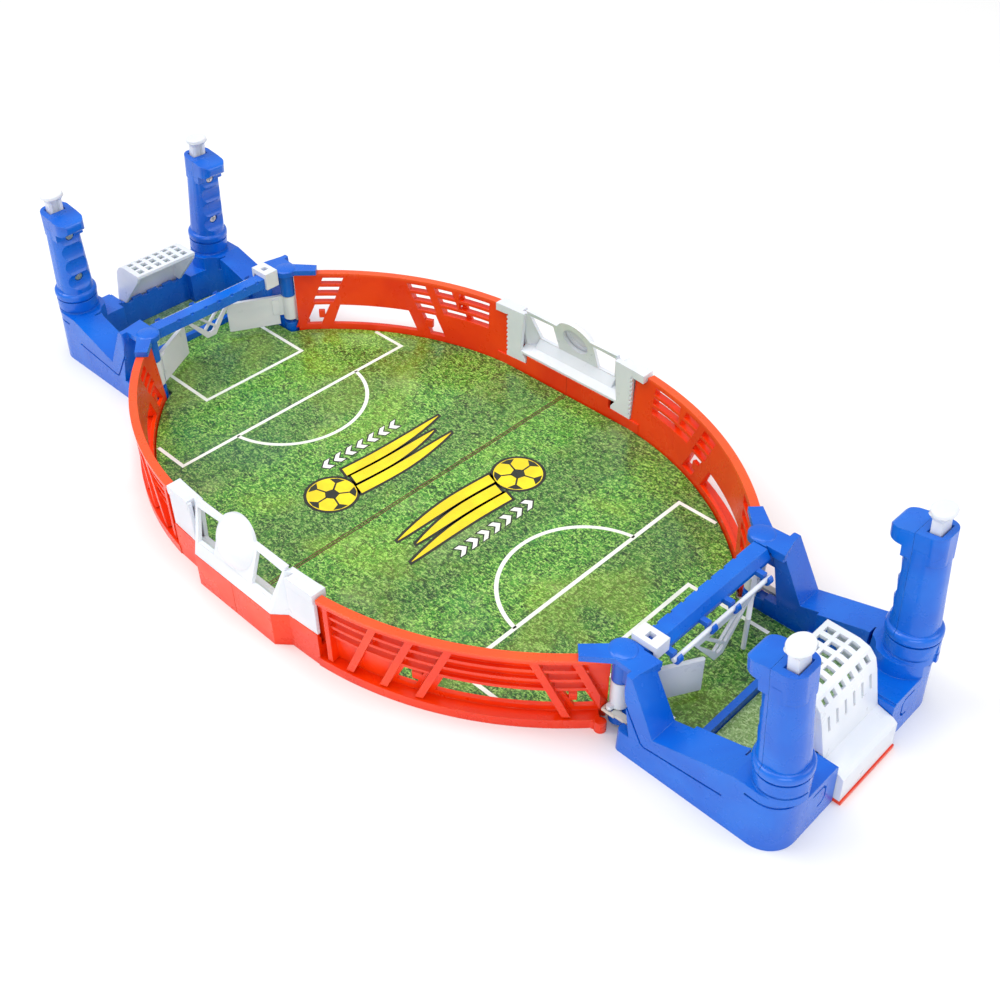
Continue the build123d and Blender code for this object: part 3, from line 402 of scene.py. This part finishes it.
def pitch_lines():
    """Penalty box, goal box and penalty arc of the home half."""
    lines = Sheet()
    side_x = wall_x(BOX_Y)
    lines.ribbon([(side_x, BOX_Y), (BOX_X, BOX_Y), (BOX_X, -BOX_Y), (side_x, -BOX_Y)], LINE_W)
    lines.ribbon([(MOUTH_X, GOAL_Y), (GOAL_X, GOAL_Y), (GOAL_X, -GOAL_Y), (MOUTH_X, -GOAL_Y)],
                 LINE_W)
    lines.ribbon(arc(ARC_AT, 0, ARC_SIZE, 99, 261, 60), LINE_W)
    return lines


def slant(points):
    """Slants a shape, so that y falls as x grows."""
    return [(x, y - SHEAR * (x - SHEAR_X)) for x, y in points]


def streak(y0, y1, x_mid, thick):
    """Tapering speed streak from a sharp tail at y0 to a blunt end at y1."""
    steps = 10
    upper, lower = [], []
    for i in range(steps + 1):
        t = i / steps
        y = y0 + (y1 - y0) * t
        half = thick / 2 * math.sin(math.pi * min(t, 0.62) / 1.24) ** 0.8 + 0.15
        bend = 2.2 * math.sin(math.pi * t)
        upper.append((x_mid - bend - half, y))
        lower.append((x_mid - bend + half, y))
    return slant(upper + lower[::-1])


def emblem():
    """Abstract flying-ball emblem: a ball with streaks behind it, over a row of chevrons."""
    yellow, black, white = Sheet(), Sheet(), Sheet()
    streaks = [streak(-46, 26, 23.5, 6.6), streak(-38, 25, 32.5, 7.0), streak(-47, 27, 41.0, 6.0)]
    for points in streaks:
        yellow.polygon(points)
        black.outlined(points, STREAK_EDGE)
    yellow.polygon(arc(BALL_X, BALL_Y, BALL_R, 0, 360, 40)[:-1])
    black.polygon(arc(BALL_X, BALL_Y, BALL_R + BALL_EDGE, 0, 360, 40)[:-1])
    for i in range(7):
        y = -22 + 8.6 * i
        chevron = slant([(50.0, y), (53.6, y + 3.4), (57.2, y), (57.2, y + 3.6), (53.6, y + 7.0),
                         (50.0, y + 3.6)])
        white.polygon(chevron)
        black.outlined(chevron, CHEVRON_EDGE)
    return yellow, black, white


def on_ball(radius, angle):
    """Point on the emblem's ball at a radius and angle about its centre."""
    a = math.radians(angle)
    return BALL_X + radius * math.cos(a), BALL_Y + radius * math.sin(a)


def ball_patches():
    """Five-sided centre patch, seams and rim patches of the emblem's ball."""
    patches = Sheet()
    spokes = [72 * i + 18 for i in range(5)]
    patches.polygon([on_ball(4.6, a) for a in spokes])
    for a in spokes:
        patches.ribbon([on_ball(4.0, a), on_ball(9.6, a)], 1.1)
        patches.polygon([on_ball(13.7, a - 19), on_ball(13.9, a),
                         on_ball(13.7, a + 19), on_ball(9.4, a)])
    return patches


for end, turn in (("home", 0.0), ("away", math.pi)):
    yellow, black, white = emblem()
    # The seam sheet is painted shade of the gap between the two boards, not a printed line.
    seam = Sheet()
    seam_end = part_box("home_pitch_board")[1].y / MM - SEAM_INSET
    seam.ribbon([(SEAM_X, -seam_end), (SEAM_X, seam_end)], SEAM_W)
    for title, sheet, layer, colour in (
            ("pitch_lines", pitch_lines(), 0, INK_WHITE),
            ("emblem_outline", black, 0, INK_BLACK),
            ("emblem_yellow", yellow, 1, INK_YELLOW),
            ("emblem_white", white, 1, INK_WHITE),
            ("emblem_patches", ball_patches(), 2, INK_BLACK),
            ("seam_gap_shade", seam, 0, BROWN_GAP_SHADE)):
        sheet.print_on(f"{end}_{title}", BOARD_TOP + layer * INK_T, colour, turn)


# ---- return springs -----------------------------------------------------------------------
def coil_spring(grip):
    """Return spring of one grip, copied into its own mesh on the game body, with the original part
    hidden.
    """
    spring = f"{grip}_button_spring"
    coil = bpy.data.objects.new(f"{grip}_coil", nodes[spring].data.copy())
    bpy.context.scene.collection.objects.link(coil)
    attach(coil, "game")
    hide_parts(spring)
    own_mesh(coil)


for joint in frame["record"]["behaviour"]["joints"]:
    if joint["name"].endswith("_push"):
        coil_spring(joint["name"].removesuffix("_push"))


# ---- stage --------------------------------------------------------------------------------
def backdrop():
    """Flat pale floor."""
    g = Graph("paper_sweep")
    tone = g.mix(g.ramp(g.noise(3, 3, 0.6), 0.3, 0.7), (0.86, 0.86, 0.86), (0.88, 0.88, 0.88))
    normal = g.bump(g.noise(400, 2, 0.6), 0.03, 0.0002)
    rough = g.ramp(g.noise(50, 2, 0.5), 0.3, 0.7, 0.70, 0.80)
    material = g.finish(tone, rough, normal, Specular_IOR_Level=0.15)
    half = 6.0
    data = bpy.data.meshes.new("floor")
    corners = [(-half, -half, 0), (half, -half, 0), (half, half, 0), (-half, half, 0)]
    data.from_pydata(corners, [], [(0, 1, 2, 3)])
    data.materials.append(material)
    floor = bpy.data.objects.new("floor", data)
    bpy.context.scene.collection.objects.link(floor)


def area(name, place, size, power):
    """Soft white rectangle of light aimed at the origin."""
    data = bpy.data.lights.new(name, "AREA")
    data.shape = "RECTANGLE"
    data.size, data.size_y = size
    data.energy = power
    lamp = bpy.data.objects.new(name, data)
    lamp.location = place
    lamp.rotation_euler = (Vector() - Vector(place)).to_track_quat("-Z", "Y").to_euler()
    bpy.context.scene.collection.objects.link(lamp)


def studio():
    """Pale surroundings and four large lamps."""
    world = bpy.data.worlds.new("studio")
    world.use_nodes = True
    back = world.node_tree.nodes["Background"]
    back.inputs["Color"].default_value = (1.0, 1.0, 1.0, 1)
    back.inputs["Strength"].default_value = 0.68
    bpy.context.scene.world = world
    area("key", (-0.9, -0.7, 1.5), (1.1, 0.8), 12)
    area("fill", (1.3, 0.9, 1.3), (1.0, 1.0), 7)
    area("front", (1.2, -1.3, 0.7), (1.2, 0.8), 10)
    area("top", (0.0, 0.0, 1.9), (1.4, 1.0), 12)


def camera():
    """Camera at the photograph's viewpoint, slightly rolled."""
    place = Vector((0.4066, -0.3607, 0.4567))
    target = Vector((0.0290, 0.01006, 0.0055))
    ahead = (target - place).normalized()
    right = ahead.cross(Vector((0, 0, 1))).normalized()
    up = right.cross(ahead)
    roll = math.radians(-1.219)
    c, s = math.cos(roll), math.sin(roll)
    basis = Matrix((right * c + up * s, up * c - right * s, -ahead)).transposed().to_4x4()
    data = bpy.data.cameras.new("camera")
    data.sensor_width = 36.0
    data.lens = 45.07
    data.shift_x = 0.0252
    data.shift_y = -0.0014
    data.clip_start = 0.01
    eye = bpy.data.objects.new("camera", data)
    eye.matrix_world = Matrix.Translation(place) @ basis
    bpy.context.scene.collection.objects.link(eye)
    bpy.context.scene.camera = eye


backdrop()
studio()
camera()
bpy.context.scene.view_settings.view_transform = "Standard"
